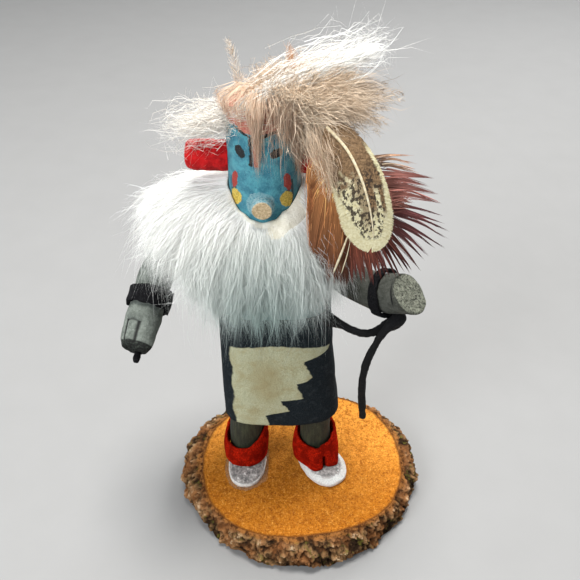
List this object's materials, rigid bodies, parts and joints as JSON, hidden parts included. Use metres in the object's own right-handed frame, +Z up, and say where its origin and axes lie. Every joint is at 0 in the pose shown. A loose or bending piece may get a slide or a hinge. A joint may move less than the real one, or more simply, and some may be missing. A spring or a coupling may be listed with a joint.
{
  "type": "kachina doll",
  "caption": "Carved and painted souvenir kachina doll with a case mask, fur collar, feathers, kilt and boots, on a bark-edged slice of wood.",
  "frame": {"origin": "centre of the wood slice's flat underside, on the surface that the doll stands on", "axes": "+Z up, the doll faces -Y, +X to the right of a person who faces the doll"},
  "size_m": [0.0849, 0.0661, 0.1471],
  "materials": {
    "bark_wood": "sanded end grain tinted orange, with rough brown bark round it",
    "painted_root": "brushed matt paint: pale turquoise torso, dark grey legs, white and silver moccasins",
    "grey_paint": "thin matt grey paint over carved root",
    "mask_paint": "matt blue paint with black, red, yellow and rose marks",
    "red_paint": "matt red paint",
    "bare_root": "bare tan end grain",
    "kilt_suede": "undyed suede, soiled, with black painted bands and steps",
    "red_suede": "napped red suede",
    "black_suede": "napped black suede",
    "black_leather": "dull black thong, slightly cracked",
    "rabbit_fur": "long white rabbit fur on white hide, pale blue-green towards its hem",
    "tan_down": "fluffy tan down",
    "white_down": "fluffy white down",
    "speckled_feather": "cream vane with black-brown speckles and a brown middle",
    "rust_feather": "glossy rust-brown barbs",
    "maroon_feather": "glossy maroon-black barbs"
  },
  "bodies": {
    "root": {"base_slice": "bark_wood", "doll_body": "painted_root", "kilt": "kilt_suede", "boot_cuff_left": "red_suede", "boot_cuff_right": "red_suede", "arm_left": "grey_paint", "arm_right": "grey_paint", "wrist_band_left": "black_suede", "wrist_band_right": "black_suede", "held_stub": "black_suede", "head_mask": "mask_paint", "snout": "bare_root", "ear_left": "red_paint", "ear_right": "red_paint", "fur_collar": "rabbit_fur", "plume_tan": "tan_down", "plume_white": "white_down", "plume_left": "tan_down", "wisp_upright": "tan_down", "feather_speckled": "speckled_feather", "feather_rust": "rust_feather", "feather_maroon": "maroon_feather", "hand_thong": "black_leather"}
  },
  "joints": []
}
